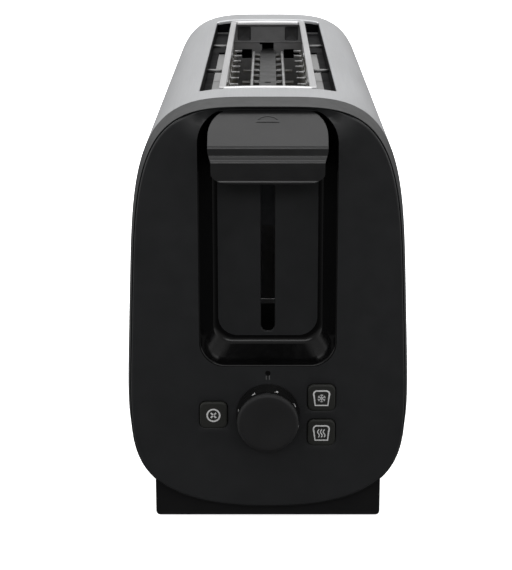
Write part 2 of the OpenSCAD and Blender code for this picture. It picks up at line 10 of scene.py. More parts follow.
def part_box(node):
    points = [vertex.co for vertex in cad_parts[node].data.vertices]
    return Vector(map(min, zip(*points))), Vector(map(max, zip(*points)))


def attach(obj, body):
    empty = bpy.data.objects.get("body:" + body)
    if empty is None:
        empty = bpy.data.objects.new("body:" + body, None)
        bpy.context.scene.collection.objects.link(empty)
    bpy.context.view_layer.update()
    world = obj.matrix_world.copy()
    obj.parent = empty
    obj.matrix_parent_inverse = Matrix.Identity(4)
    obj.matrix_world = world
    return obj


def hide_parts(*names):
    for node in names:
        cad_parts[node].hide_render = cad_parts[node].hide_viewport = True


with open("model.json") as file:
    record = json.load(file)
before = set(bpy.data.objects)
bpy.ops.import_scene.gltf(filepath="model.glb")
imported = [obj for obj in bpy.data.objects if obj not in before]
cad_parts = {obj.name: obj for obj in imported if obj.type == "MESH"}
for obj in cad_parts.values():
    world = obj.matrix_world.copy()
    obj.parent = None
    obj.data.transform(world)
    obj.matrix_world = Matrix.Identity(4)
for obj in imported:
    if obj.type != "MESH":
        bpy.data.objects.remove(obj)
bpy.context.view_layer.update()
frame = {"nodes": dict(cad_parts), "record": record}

MM = 0.001
NODES = frame["nodes"]

# ---- places taken from the frame ----
PANEL_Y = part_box("front_fascia")[0].y          # front face of the control panel
REAR_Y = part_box("rear_cap")[1].y
CROWN_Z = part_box("outer_shell")[1].z
WRAP_FRONT_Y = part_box("outer_shell")[0].y
WRAP_REAR_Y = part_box("outer_shell")[1].y
WRAP_LOW_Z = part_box("outer_shell")[0].z
SKIRT_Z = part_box("front_frame")[0].z
MID_Z = (CROWN_Z + SKIRT_Z) / 2
HALF_H = (CROWN_Z - SKIRT_Z) / 2
HALF_W = 66.65 * MM                            # body's half width at mid height
SQUARENESS = 4.1                               # superellipse exponent of the outline's upper half
LOW_ACROSS = 2.3                               # exponents of its lower half
LOW_UPRIGHT = 5.7
LEAN = 3.9 * MM                                # how far the sides lean in towards the crown
WRAP_T = 0.8 * MM
OPENING_X = 33.2 * MM                          # slot opening in the wrap
OPENING_FRONT = PANEL_Y + 43.5 * MM
OPENING_REAR = PANEL_Y + 341 * MM
FRAME_D = (WRAP_FRONT_Y - PANEL_Y) / MM        # front frame's depth in millimetres
FRAME_TAPER = 2 * MM
KNOB_Z = (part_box("browning_knob")[0].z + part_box("browning_knob")[1].z) / 2


def depth(mm):
    """Y of a depth in millimetres behind the control panel's front face."""
    return PANEL_Y + mm * MM


# ---- camera, light and floor ----
IMAGE_H = 570
FOCAL_PX = 1637
SHIFT_PX = -11.85
CAMERA_AWAY = 0.741
CAMERA_HEIGHT = 0.3257
CAMERA_DIP = 15.5


def make_camera():
    data = bpy.data.cameras.new("camera")
    data.sensor_width = 36
    data.lens = FOCAL_PX * data.sensor_width / IMAGE_H
    data.shift_x = SHIFT_PX / IMAGE_H
    cam = bpy.data.objects.new("camera", data)
    cam.location = (0, PANEL_Y - CAMERA_AWAY, CAMERA_HEIGHT)
    cam.rotation_euler = (math.radians(90 - CAMERA_DIP), 0, 0)
    bpy.context.scene.collection.objects.link(cam)
    bpy.context.scene.camera = cam


def area_light(name, place, target, size, power):
    data = bpy.data.lights.new(name, "AREA")
    data.shape = "RECTANGLE"
    data.size, data.size_y = size
    data.energy = power
    lamp = bpy.data.objects.new(name, data)
    lamp.location = place
    lamp.rotation_euler = (Vector(target) - Vector(place)).to_track_quat("-Z", "Y").to_euler()
    bpy.context.scene.collection.objects.link(lamp)


SKY_STOPS = ((0.0, 0.08), (0.02, 0.30), (0.25, 0.46), (0.6, 0.80), (1.0, 0.9))   # (height, level)
SKY_STRENGTH = 1.15
SIDE_GAIN = 5.0         # extra light low on both sides
FRONT_LEVEL = 0.6       # share of the sky's light left in front of the object


def set_inputs(node, **values):
    """Sets sockets by name; an underscore stands for a space."""
    for name, value in values.items():
        node.inputs[name.replace("_", " ")].default_value = value


def math_node(tree, operation, *operands):
    """Math node whose operands are sockets or plain numbers."""
    node = tree.nodes.new("ShaderNodeMath")
    node.operation = operation
    for socket, operand in zip(node.inputs, operands):
        if isinstance(operand, float):
            socket.default_value = operand
        else:
            tree.links.new(operand, socket)
    return node.outputs[0]


def map_range(tree, source, given, wanted):
    """Maps a span of values to another, held at its ends."""
    node = tree.nodes.new("ShaderNodeMapRange")
    set_inputs(node, From_Min=given[0], From_Max=given[1], To_Min=wanted[0], To_Max=wanted[1])
    tree.links.new(source, node.inputs["Value"])
    return node.outputs["Result"]


def make_world():
    """Soft studio dome: bright overhead and to both sides, dimmer fore and aft, dark below."""
    world = bpy.data.worlds.new("studio")
    bpy.context.scene.world = world
    world.use_nodes = True
    tree = world.node_tree
    coords = tree.nodes.new("ShaderNodeTexCoord")
    split = tree.nodes.new("ShaderNodeSeparateXYZ")
    ramp = tree.nodes.new("ShaderNodeValToRGB")
    tree.links.new(coords.outputs["Generated"], split.inputs[0])
    tree.links.new(split.outputs["Z"], ramp.inputs[0])
    while len(ramp.color_ramp.elements) < len(SKY_STOPS):
        ramp.color_ramp.elements.new(0.5)
    for element, (where, level) in zip(ramp.color_ramp.elements, SKY_STOPS):
        element.position = where
        element.color = (level, level, level, 1)
    square = math_node(tree, "MULTIPLY", split.outputs["X"], split.outputs["X"])
    side_band = map_range(tree, split.outputs["Z"], (0.0, 0.55), (SIDE_GAIN, 0.0))
    sides = math_node(tree, "MULTIPLY_ADD", square, side_band, 1.0)
    front_dim = map_range(tree, split.outputs["Y"], (-0.6, 0.1), (FRONT_LEVEL, 1.0))
    scaled = tree.nodes.new("ShaderNodeVectorMath")
    scaled.operation = "SCALE"
    tree.links.new(ramp.outputs["Color"], scaled.inputs["Vector"])
    tree.links.new(math_node(tree, "MULTIPLY", sides, front_dim), scaled.inputs["Scale"])
    background = tree.nodes["Background"]
    tree.links.new(scaled.outputs["Vector"], background.inputs["Color"])
    set_inputs(background, Strength=SKY_STRENGTH)


def make_floor():
    """Pale sheet that glows a little, so it stays as even as the photo's ground."""
    mesh = bpy.data.meshes.new("floor")
    side = 9.0
    mesh.from_pydata([(-side, -side, 0), (side, -side, 0), (side, side, 0), (-side, side, 0)],
                     [], [(0, 1, 2, 3)])
    floor = bpy.data.objects.new("floor", mesh)
    bpy.context.scene.collection.objects.link(floor)
    material = bpy.data.materials.new("floor_paper")
    material.use_nodes = True
    shader = material.node_tree.nodes["Principled BSDF"]
    set_inputs(shader, Base_Color=(0.93, 0.93, 0.93, 1), Roughness=0.9, Specular_IOR_Level=0.0,
               Emission_Color=(1, 1, 1, 1), Emission_Strength=0.8)
    mesh.materials.append(material)
    floor.visible_glossy = False
    floor.visible_diffuse = False


make_camera()
make_world()
make_floor()
area_light("overhead", (0, 0.75, 1.5), (0, 0.75, 0.1), (3.4, 2.3), 34)
area_light("front_softbox", (0, -2.2, 1.1), (0, 0, 0.1), (1.6, 0.5), 9)
bpy.context.scene.view_settings.view_transform = "Standard"


# ---- materials ----
def linear(r, g, b):
    """Linear colour of an 8-bit display colour."""
    def one(v):
        v /= 255
        return v / 12.92 if v <= 0.04045 else ((v + 0.055) / 1.055) ** 2.4
    return (one(r), one(g), one(b), 1)


class Finish:
    """A procedural material: base shader plus noise layers for colour, roughness and bump."""

    def __init__(self, name, color, roughness, metallic=0.0, specular=0.5):
        self.material = bpy.data.materials.new(name)
        self.material.use_nodes = True
        self.tree = self.material.node_tree
        self.shader = self.tree.nodes["Principled BSDF"]
        self.color = color
        self.roughness = roughness
        self.height = None
        set_inputs(self.shader, Base_Color=color, Roughness=roughness, Metallic=metallic,
                   Specular_IOR_Level=specular)
        self.coords = self.tree.nodes.new("ShaderNodeTexCoord")

    def node(self, kind, **values):
        made = self.tree.nodes.new(kind)
        for key, value in values.items():
            setattr(made, key, value)
        return made

    def noise(self, scale, detail=3.0, rough=0.6, stretch=(1, 1, 1)):
        mapping = self.node("ShaderNodeMapping")
        set_inputs(mapping, Scale=stretch)
        self.tree.links.new(self.coords.outputs["Object"], mapping.inputs["Vector"])
        noise = self.node("ShaderNodeTexNoise")
        set_inputs(noise, Scale=scale, Detail=detail, Roughness=rough)
        self.tree.links.new(mapping.outputs["Vector"], noise.inputs["Vector"])
        return noise.outputs["Fac"]

    def remap(self, source, low, high):
        """Spreads the middle of a noise's range over low to high."""
        return map_range(self.tree, source, (0.3, 0.7), (low, high))

    def vary_color(self, source, other, low=0.0, high=1.0):
        mix = self.node("ShaderNodeMix", data_type="RGBA")
        set_inputs(mix, A=self.color, B=other)
        self.tree.links.new(self.remap(source, low, high), mix.inputs["Factor"])
        self.tree.links.new(mix.outputs["Result"], self.shader.inputs["Base Color"])
        return self

    def vary_roughness(self, source, spread):
        low, high = self.roughness - spread, self.roughness + spread
        self.tree.links.new(self.remap(source, low, high), self.shader.inputs["Roughness"])
        return self

    def bump(self, source, distance, strength=1.0):
        bump = self.node("ShaderNodeBump")
        set_inputs(bump, Distance=distance, Strength=strength)
        self.tree.links.new(source, bump.inputs["Height"])
        if self.height is not None:
            self.tree.links.new(self.height, bump.inputs["Normal"])
        self.height = bump.outputs["Normal"]
        self.tree.links.new(self.height, self.shader.inputs["Normal"])
        return self


def shade(color, factor):
    return (color[0] * factor, color[1] * factor, color[2] * factor, 1)


def brushed_metal(name, color, roughness, along="y", fine=2600, depth_m=1e-6, contrast=0.92):
    """Metal with fine parallel brushing along one axis and faint smudges."""
    stretch = {"x": (0.012, 1, 1), "y": (1, 0.012, 1), "z": (1, 1, 0.012)}[along]
    f = Finish(name, color, roughness, 1.0)
    lines = f.noise(fine, 2.0, 0.6, stretch)
    f.vary_color(lines, shade(color, contrast))
    f.vary_roughness(f.noise(60, stretch=(1, 0.3, 1)), 0.02)
    f.bump(lines, depth_m)
    return f.material


def moulded_plastic(name, color, roughness, specular, grain=2600, depth_m=6e-6, variation=1.25):
    """Moulded plastic with spark-eroded grain, faint flow variation and handling marks."""
    f = Finish(name, color, roughness, 0.0, specular)
    f.vary_color(f.noise(45, 4.0), shade(color, variation), 0.0, 0.7)
    f.vary_roughness(f.noise(120, 5.0), 0.05)
    f.bump(f.noise(grain, 2.0, 0.5), depth_m)
    f.bump(f.noise(30, 2.0), 1e-5, 0.2)
    return f.material


def plated_metal(name, color, roughness, mottling=0.85, metallic=1.0, grain=300, depth_m=6e-6):
    """Plated or drawn metal: mottled colour, uneven gloss and drawing marks."""
    f = Finish(name, color, roughness, metallic)
    f.vary_color(f.noise(160, 5.0), shade(color, mottling))
    f.vary_roughness(f.noise(90, 4.0), 0.08)
    f.bump(f.noise(grain, 4.0), depth_m)
    return f.material


def mica_sheet(name, color):
    """Flaky mica: layered mottling with glittering, slightly raised flakes."""
    f = Finish(name, color, 0.45, 0.0, 0.5)
    flakes = f.node("ShaderNodeTexVoronoi")
    set_inputs(flakes, Scale=260)
    f.tree.links.new(f.coords.outputs["Object"], flakes.inputs["Vector"])
    f.vary_color(f.noise(60, 6.0), shade(color, 0.62))
    f.vary_roughness(flakes.outputs["Distance"], 0.15)
    f.bump(flakes.outputs["Distance"], 3e-5, 0.6)
    return f.material


def wound_copper(name, color):
    """Varnished winding: fine turns stacked up the coil."""
    f = Finish(name, color, 0.3, 0.85)
    wave = f.node("ShaderNodeTexWave", bands_direction="Z")
    set_inputs(wave, Scale=900)
    f.tree.links.new(f.coords.outputs["Object"], wave.inputs["Vector"])
    f.vary_color(wave.outputs["Fac"], shade(color, 0.45))
    f.bump(wave.outputs["Fac"], 1e-4)
    return f.material


def circuit_laminate(name, color):
    """Solder mask over copper tracks."""
    f = Finish(name, color, 0.35, 0.0, 0.5)
    tracks = f.node("ShaderNodeTexBrick")
    set_inputs(tracks, Scale=160, Mortar_Size=0.012)
    f.tree.links.new(f.coords.outputs["Object"], tracks.inputs["Vector"])
    f.vary_color(tracks.outputs["Fac"], shade(color, 2.2))
    f.bump(tracks.outputs["Fac"], 3e-5)
    return f.material


BLACK = (0.0175, 0.018, 0.019, 1)
MATERIALS = {
    "steel_wrap": brushed_metal("steel_wrap", linear(192, 193, 195), 0.36),
    "frame_black": moulded_plastic("frame_black", (0.011, 0.0115, 0.012, 1), 0.42, 0.22),
    "panel_black": moulded_plastic("panel_black", BLACK, 0.38, 0.35),
    "base_black": moulded_plastic("base_black", (0.006, 0.006, 0.0065, 1), 0.55, 0.2, 1500, 1e-5),
    "lever_black": moulded_plastic("lever_black", (0.012, 0.012, 0.0125, 1), 0.32, 0.55),
    "knob_black": moulded_plastic("knob_black", (0.0165, 0.0165, 0.017, 1), 0.5, 0.2),
    "button_black": moulded_plastic("button_black", (0.023, 0.0235, 0.0215, 1), 0.5, 0.2),
    "liner_black": moulded_plastic("liner_black", (0.0025, 0.0025, 0.003, 1), 0.6, 0.04),
    "rubber_black": moulded_plastic("rubber_black", (0.02, 0.02, 0.02, 1), 0.85, 0.2, 900, 4e-5),
    "rack_chrome": brushed_metal("rack_chrome", linear(222, 222, 223), 0.3, "y", 1800),
    "carriage_steel": plated_metal("carriage_steel", linear(168, 168, 168), 0.4),
    "chamber_sheet": plated_metal("chamber_sheet", linear(128, 128, 129), 0.5, 0.85, 0.85, 120),
    "reflector_sheet": brushed_metal("reflector_sheet", linear(150, 150, 150), 0.45, "y", 1200),
    "mica": mica_sheet("mica", linear(150, 140, 120)),
    "heater_alloy": plated_metal("heater_alloy", linear(120, 108, 98), 0.45, 0.6),
    "zinc_steel": plated_metal("zinc_steel", linear(92, 93, 96), 0.36, 0.8),
    "magnet_iron": plated_metal("magnet_iron", linear(112, 112, 115), 0.55, 0.7, 0.8, 200, 2e-5),
    "coil_copper": wound_copper("coil_copper", linear(186, 100, 50)),
    "contact_brass": brushed_metal("contact_brass", linear(210, 180, 105), 0.28, "z"),
    "bakelite": moulded_plastic("bakelite", (0.03, 0.03, 0.032, 1), 0.5, 0.4, 1200, 1e-5),
    "circuit_green": circuit_laminate("circuit_green", (0.01, 0.1, 0.03, 1)),
    "tray_steel": brushed_metal("tray_steel", linear(110, 110, 112), 0.4, "y", 1200),
}


def print_ink(name, bright, worn):
    """Pad-printed ink, slightly worn."""
    f = Finish(name, linear(bright, bright, bright), 0.5, 0.0, 0.3)
    f.vary_color(f.noise(900), linear(worn, worn, worn))
    f.bump(f.noise(3000), 3e-6)
    return f.material


def polished_black(name, color, roughness, specular):
    """Smooth black plastic without the grain, with faint polishing swirls."""
    f = Finish(name, color, roughness, 0.0, specular)
    f.vary_color(f.noise(35), shade(color, 1.5), 0.0, 0.7)
    f.vary_roughness(f.noise(240), 0.03)
    f.bump(f.noise(40, 2.0), 4e-6, 0.2)
    return f.material


PRINT = print_ink("print_white", 235, 205)
FAINT_PRINT = print_ink("print_grey", 115, 95)
RECESS_GLOSS = polished_black("recess_gloss", (0.0016, 0.0016, 0.0017, 1), 0.18, 0.25)
SKIRT_GLOSS = polished_black("skirt_gloss", (0.002, 0.002, 0.002, 1), 0.28, 0.3)
# Much darker copy of the plated carriage steel: painted shade for the rail and lift frame, which sit deep in
# the slot.
SHADED_CARRIAGE_STEEL = plated_metal("carriage_steel_painted_shade", linear(60, 60, 60), 0.42)
PIN_STEEL = plated_metal("pin_steel", linear(120, 120, 120), 0.5)
# Dark plated sheet for the rear plate's window pockets: painted shade for the dark seen through them.
WINDOW_PAINTED_SHADE = plated_metal("window_painted_shade", linear(62, 62, 63), 0.55, 0.8, 0.6)


# ---- mesh building ----
class Shape:
    """Collects rings of points and the faces between them."""

    def __init__(self):
        self.bm = bmesh.new()

    def ring(self, points):
        return [self.bm.verts.new(p) for p in points]

    def bridge(self, a, b, closed=True):
        count = len(a) if closed else len(a) - 1
        for i in range(count):
            j = (i + 1) % len(a)
            self.bm.faces.new((a[i], a[j], b[j], b[i]))

    def loft(self, rings, closed=True):
        made = [self.ring(r) for r in rings]
        for a, b in zip(made, made[1:]):
            self.bridge(a, b, closed)
        return made

    def cap(self, ring):
        """Fan to a middle point, so a round end has no long thin faces."""
        middle = self.bm.verts.new(sum((v.co for v in ring), Vector()) / len(ring))
        for i in range(len(ring)):
            self.bm.faces.new((ring[i], ring[(i + 1) % len(ring)], middle))

    def face(self, ring):
        return self.bm.faces.new(ring)

    def flat_fill(self, rings, lift, spacing=None, across=2):
        """Triangles between an outer ring and hole rings, drawn on x and one more axis, placed by lift."""
        owners = [v for ring in rings for v in ring]
        flat = [Vector((v.co.x, v.co[across])) for v in owners]
        edges = []
        start = 0
        for ring in rings:
            edges += [(start + i, start + (i + 1) % len(ring)) for i in range(len(ring))]
            start += len(ring)
        polygons = [[(v.co.x, v.co[across]) for v in ring] for ring in rings]
        if spacing:
            (x0, x1), (y0, y1) = ((min(side), max(side)) for side in zip(*polygons[0]))
            for i in range(int((x1 - x0) / spacing)):
                for j in range(int((y1 - y0) / spacing)):
                    p = (x0 + (i + 0.5) * spacing, y0 + (j + 0.5) * spacing)
                    if not inside(p, polygons[0], spacing * 0.4):
                        continue
                    if any(inside(p, h, 0) or near(p, h, spacing * 0.4) for h in polygons[1:]):
                        continue
                    flat.append(Vector(p))
        points, _, triangles, origins = geometry.delaunay_2d_cdt(flat, edges, [], 0, 1e-7, True)[:4]
        verts = []
        for point, origin in zip(points, origins):
            if origin and origin[0] < len(owners):
                verts.append(owners[origin[0]])
            else:
                verts.append(self.bm.verts.new(lift(point.x, point.y)))
        for triangle in triangles:
            middle = sum((points[i] for i in triangle), Vector((0, 0))) / len(triangle)
            if not inside(middle, polygons[0], 0) or any(inside(middle, h, 0) for h in polygons[1:]):
                continue
            self.bm.faces.new([verts[i] for i in triangle])

    def finish(self, name, slot, body, stands_for=(), smooth_angle=35, material=None):
        bmesh.ops.remove_doubles(self.bm, verts=self.bm.verts, dist=1e-8)
        return place(name, self.mesh(name), slot, body, stands_for, smooth_angle, material)

    def mesh(self, name):
        bmesh.ops.recalc_face_normals(self.bm, faces=self.bm.faces)
        mesh = bpy.data.meshes.new(name)
        self.bm.to_mesh(mesh)
        self.bm.free()
        return mesh


def near(p, polygon, gap):
    return any((q[0] - p[0]) ** 2 + (q[1] - p[1]) ** 2 < gap * gap for q in polygon)


def inside(p, polygon, margin):
    x, y = p[0], p[1]
    hit = False
    for (x0, y0), (x1, y1) in zip(polygon, polygon[1:] + polygon[:1]):
        if (y0 > y) != (y1 > y) and x < (x1 - x0) * (y - y0) / (y1 - y0) + x0:
            hit = not hit
    return hit and not (margin and near(p, polygon, margin))


REPLACED = set()


def dress(piece, slot, body, stands_for=(), material=None):
    """Gives a piece its material, the slot's unless another is given, hangs it under its body's empty and
    hides the nodes it replaces, noting them as replaced.
    """
    piece.data.materials.clear()
    piece.data.materials.append(material or MATERIALS[slot])
    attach(piece, body)
    if stands_for:
        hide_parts(*stands_for)
        REPLACED.update(stands_for)


def place(name, mesh, slot, body, stands_for=(), smooth_angle=35, material=None):
    """Makes a finished piece of a mesh."""
    piece = bpy.data.objects.new(name, mesh)
    bpy.context.scene.collection.objects.link(piece)
    mesh.shade_smooth()
    mesh.set_sharp_from_angle(angle=math.radians(smooth_angle))
    dress(piece, slot, body, stands_for, material)
    return piece


def signed_power(value, exponent):
    return math.copysign(abs(value) ** exponent, value)


def outline_point(angle, inset):
    """(x, z) on the body's outline, moved in by inset."""
    low_half = math.sin(angle) < 0
    across = LOW_ACROSS if low_half else SQUARENESS
    upright = LOW_UPRIGHT if low_half else SQUARENESS
    u = signed_power(math.sin(angle), 2 / upright)
    x = (HALF_W - inset - LEAN * u) * signed_power(math.cos(angle), 2 / across)
    return x, MID_Z + (HALF_H - inset) * u


OUTLINE_N = 288
FINE_N = 7200


def outline_angles(count=OUTLINE_N):
    """Angles that put the points at about even spacing around the outline."""
    fine = [outline_point(2 * math.pi * i / FINE_N, 0) for i in range(FINE_N + 1)]
    run = [0.0]
    for (x0, z0), (x1, z1) in zip(fine, fine[1:]):
        run.append(run[-1] + math.hypot(x1 - x0, z1 - z0))
    angles, j = [], 0
    for i in range(count):
        goal = run[-1] * i / count
        while run[j + 1] < goal:
            j += 1
        angles.append(2 * math.pi * j / FINE_N)
    return angles


ANGLES = outline_angles()


def outline(inset, y):
    """Ring of points around the body; inset may be a number or a function of (x, z)."""
    ring = []
    for angle in ANGLES:
        x, z = outline_point(angle, inset(*outline_point(angle, 0)) if callable(inset) else inset)
        ring.append(Vector((x, y, z)))
    return ring


def arc(cx, cy, r, start, end, count, upright=None):
    """Flat points along an arc, in degrees; upright is the other radius of an ellipse."""
    points = []
    for i in range(count + 1):
        a = math.radians(start + (end - start) * i / count)
        points.append((cx + r * math.cos(a), cy + (upright or r) * math.sin(a)))
    return points


def rounded_rectangle(x0, x1, y0, y1, r_low, r_high, steps, sides):
    """Flat points around a rounded rectangle, anticlockwise from its lower right corner."""
    corners = ((x1 - r_low, y0 + r_low, r_low), (x1 - r_high, y1 - r_high, r_high),
               (x0 + r_high, y1 - r_high, r_high), (x0 + r_low, y0 + r_low, r_low))
    turns = [arc(cx, cy, r, 90 * k - 90, 90 * k, steps) for k, (cx, cy, r) in enumerate(corners)]
    points = []
    for turn, following in zip(turns, turns[1:] + turns[:1]):
        points += turn
        (px, py), (qx, qy) = turn[-1], following[0]
        points += [(px + (qx - px) * k / sides, py + (qy - py) * k / sides) for k in range(1, sides)]
    return points


def rounded_ring(x0, x1, z0, z1, r_low, r_high, y, steps=14, sides=6):
    """Upright rounded rectangle at depth y."""
    return [Vector((x, y, z)) for x, z in rounded_rectangle(x0, x1, z0, z1, r_low, r_high, steps, sides)]


def square_ring(x, z, half, r, y, steps=8, sides=3):
    """Upright rounded square around (x, z)."""
    return rounded_ring(x - half, x + half, z - half, z + half, r, r, y, steps, sides)


def circle_ring(x, z, r, y, count=96):
    return [Vector((px, y, pz)) for px, pz in arc(x, z, r, 0, 360, count)[:-1]]


# ---- steel wrap ----
def crown_z(x, inset=0.0):
    """Height of the body's crown at x."""
    angle = angle_at_x(min(abs(x), HALF_W * 0.9))
    return outline_point(angle, inset)[1]


def plan_ring(half_x, y0, y1, r, z_of, steps=10, side=40):
    """Level rounded rectangle seen from above, each point at the height z_of gives."""
    points = rounded_rectangle(-half_x, half_x, y0, y1, r, r, steps, side)
    return [Vector((x, y, z_of(x))) for x, y in points]


CROWN_HALF = 44 * MM      # the crown is meshed in one flat part this far out on both sides
LIP_R = 0.65 * MM         # rounding of the slot opening's edge
LIP_DROP = 1.4 * MM


def make_steel_wrap():
    """Bent sheet, open below, with the slot opening's turned-down lip."""
    shape = Shape()
    half = sorted(a if a < 1.5 * math.pi else a - 2 * math.pi
                  for a in ANGLES if outline_point(a, 0)[1] > WRAP_LOW_Z)
    seam = angle_at_x(CROWN_HALF)
    right = [wrap_foot(half[0], -1)] + [a for a in half if a < seam - 0.002] + [seam]
    left = [math.pi - a for a in right]
    rows = 60
    ys = [WRAP_FRONT_Y + (WRAP_REAR_Y - WRAP_FRONT_Y) * i / rows for i in range(rows + 1)]
    columns = 22
    xs = [CROWN_HALF - 2 * CROWN_HALF * i / columns for i in range(columns + 1)]
    feet, edges, holes = [], [], []
    for inset in (0.0, WRAP_T):
        sides = []
        for stations in (right, left):
            profile = [outline_point(a, inset) for a in stations]
            grid = [shape.ring([Vector((x, y, z)) for x, z in profile]) for y in ys]
            for near_row, far_row in zip(grid, grid[1:]):
                shape.bridge(near_row, far_row, False)
            sides.append(grid)
        front, rear = (shape.ring([Vector((x, y, crown_z(x, inset))) for x in xs[1:-1]])
                       for y in (ys[0], ys[-1]))
        right_seam, left_seam = ([row[-1] for row in side] for side in sides)
        border = right_seam[::-1] + front + left_seam + rear[::-1]
        hole = shape.ring(plan_ring(OPENING_X + LIP_R, OPENING_FRONT - LIP_R, OPENING_REAR + LIP_R, 4 * MM,
                                    lambda x: crown_z(x, inset)))
        shape.flat_fill([border, hole], lambda x, y: Vector((x, y, crown_z(x, inset))), 4 * MM, 1)
        feet.append([[row[0] for row in side] for side in sides])
        edges.append((sides[0][0] + front + sides[1][0][::-1], sides[0][-1] + rear + sides[1][-1][::-1]))
        holes.append(hole)
    for k in (0, 1):
        shape.bridge(feet[0][k], feet[1][k], False)
        shape.bridge(edges[0][k], edges[1][k], False)
    last = holes[0]
    lip_low, lip_back = LIP_R + LIP_DROP, LIP_R - 0.5 * MM
    turns = [math.radians(90 * i / 5) for i in range(1, 6)]
    lip = [(LIP_R * math.sin(a), LIP_R * (1 - math.cos(a))) for a in turns]
    lip += [(LIP_R, lip_low), (lip_back, lip_low), (lip_back, WRAP_T)]
    for step_in, drop in lip:
        ring = shape.ring(lip_ring(step_in, drop))
        shape.bridge(last, ring)
        last = ring
    shape.bridge(last, holes[1])
    shape.finish("steel_wrap", "steel_wrap", "chassis", ["outer_shell"], 50)


def lip_ring(step_in, drop):
    reach = LIP_R - step_in
    return plan_ring(OPENING_X + reach, OPENING_FRONT - reach, OPENING_REAR + reach, 3 * MM + reach,
                     lambda x: crown_z(x) - drop)


def angle_at_x(x):
    """Angle of the point at x on the crown."""
    low, high = 0.0, math.pi / 2
    for _ in range(50):
        middle = (low + high) / 2
        if outline_point(middle, 0)[0] > x:
            low = middle
        else:
            high = middle
    return (low + high) / 2


def wrap_foot(angle, way):
    """Angle near this one whose point lies at the wrap's lower edge."""
    step = way * 0.0005
    while outline_point(angle, 0)[1] > WRAP_LOW_Z:
        angle += step
    return angle


def soften(piece, width, segments=3, angle=30):
    """Rounds a piece's sharp edges."""
    bevel = piece.modifiers.new("soft_edges", "BEVEL")
    bevel.width = width
    bevel.segments = segments
    bevel.limit_method = "ANGLE"
    bevel.angle_limit = math.radians(angle)
    bevel.harden_normals = False
    even_normals(piece)


def even_normals(piece):
    """Shades a piece smooth with its large faces kept flat."""
    piece.data.shade_smooth()
    piece.modifiers.new("even_normals", "WEIGHTED_NORMAL").keep_sharp = False


# ---- front frame ----
def taper(z):
    """How far the frame's front edge is drawn in; less along the underside."""
    return FRAME_TAPER * (0.4 + 0.6 * smooth((z - SKIRT_Z) / (50 * MM)))


LIP_W = 0.45 * MM         # flat front lip of the frame
PANEL_GAP = 0.16 * MM     # shadow line between the lip and the panel
FRAME_WALL = 4.2


def make_front_frame():
    shape = Shape()

    def frame_ring(share, inset, d):
        """Outline drawn in by a share of the taper and by inset millimetres, d millimetres deep."""
        return outline(lambda x, z: taper(z) * share + inset * MM, depth(d))

    rings = [frame_ring(0, inset, d) for inset, d in ((1.0, FRAME_D + 7), (1.0, FRAME_D), (0.3, FRAME_D),
                                                     (0.06, FRAME_D - 0.15), (0.02, FRAME_D - 0.5))]
    rings += [frame_ring(i / 8, 0, FRAME_D - (FRAME_D - 0.8) * i / 8) for i in range(1, 8)]
    lip = LIP_W / MM
    rings.append(frame_ring(0.985, 0, 1.05))
    rings += [frame_ring(1, inset, d) for inset, d in
              ((0.06, 0.84), (0.2, 0.8), (lip - 0.1, 0.8), (lip, 0.95), (lip, 3.0))]
    rings += [frame_ring(0, FRAME_WALL, 3.0), frame_ring(0, FRAME_WALL, FRAME_D + 7)]
    made = shape.loft(rings)
    shape.bridge(made[-1], made[0])
    shape.finish("end_frame", "frame_black", "chassis", ["front_frame"])


# ---- control panel ----
RECESS_X = 32 * MM                  # rim of the lever's recess
RECESS_LOW = 80.7 * MM
RECESS_TOP = CROWN_Z - 3.6 * MM
RECESS_D = 11                       # millimetres behind the panel's face
FLOOR_X = 24.6 * MM
FLOOR_RISE = 10.3 * MM              # how far the floor's lower edge lies above the rim's
STEM_HALF = 3.3 * MM                # slot that the lever's stem runs in
STEM_LOW = 94 * MM
STEM_HIGH = 196 * MM
BUTTON_HALF = 6.9 * MM
ROLL_Z = 183 * MM                   # the panel's face curves back above this height
ROLL_LENGTH = 22 * MM
ROLL_D = 4.6 * MM
BUTTONS = {"stop_button": "stop_button_body", "defrost_button": "defrost_button_body",
           "reheat_button": "reheat_button_body"}


def button_middle(node):
    low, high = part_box(node)
    return (low.x + high.x) / 2, (low.z + high.z) / 2


def smooth(t):
    t = max(0.0, min(1.0, t))
    return t * t * (3 - 2 * t)


def roll_back(x, z):
    """How far the panel's face curves back beside the top of the recess."""
    reach = (z - ROLL_Z) - 1.15 * max(0.0, abs(x) - RECESS_X)
    t = max(0.0, reach) / ROLL_LENGTH
    return ROLL_D * t * t


